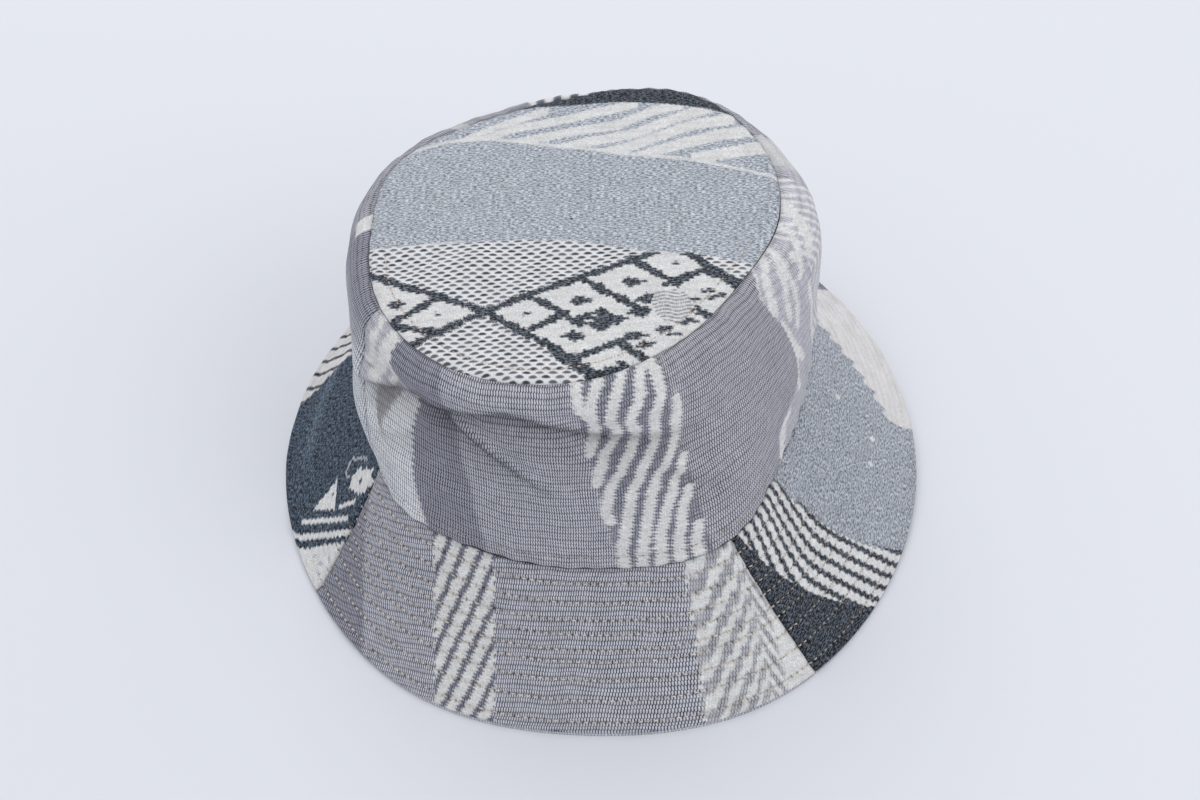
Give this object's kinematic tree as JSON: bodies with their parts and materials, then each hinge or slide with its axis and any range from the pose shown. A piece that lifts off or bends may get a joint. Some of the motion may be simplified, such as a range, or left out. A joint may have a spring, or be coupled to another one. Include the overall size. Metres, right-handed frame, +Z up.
{
  "type": "bucket hat",
  "caption": "Soft woven bucket hat with a flat oval top, a creased side wall and a wide sloping brim, standing on its brim with the head opening down.",
  "frame": {"origin": "middle of the hat's bounding box, on the surface that the brim stands on", "axes": "+Z up through the crown, +Y towards the back of the hat, -Y the front, +X to the right in the picture"},
  "size_m": [0.269, 0.2826, 0.1339],
  "materials": {
    "top_cloth": "woven wool and cotton blanket cloth, matt",
    "side_cloth": "woven wool and cotton blanket cloth, matt",
    "brim_cloth": "woven wool and cotton blanket cloth, matt",
    "under_cloth": "plain woven cloth, matt"
  },
  "bodies": {
    "root": {"crown_top": "top_cloth", "crown_side_front": "side_cloth", "crown_side_back": "side_cloth", "brim_front": "brim_cloth", "brim_right": "brim_cloth", "brim_back": "brim_cloth", "brim_left": "brim_cloth", "brim_under": "under_cloth"}
  },
  "joints": []
}
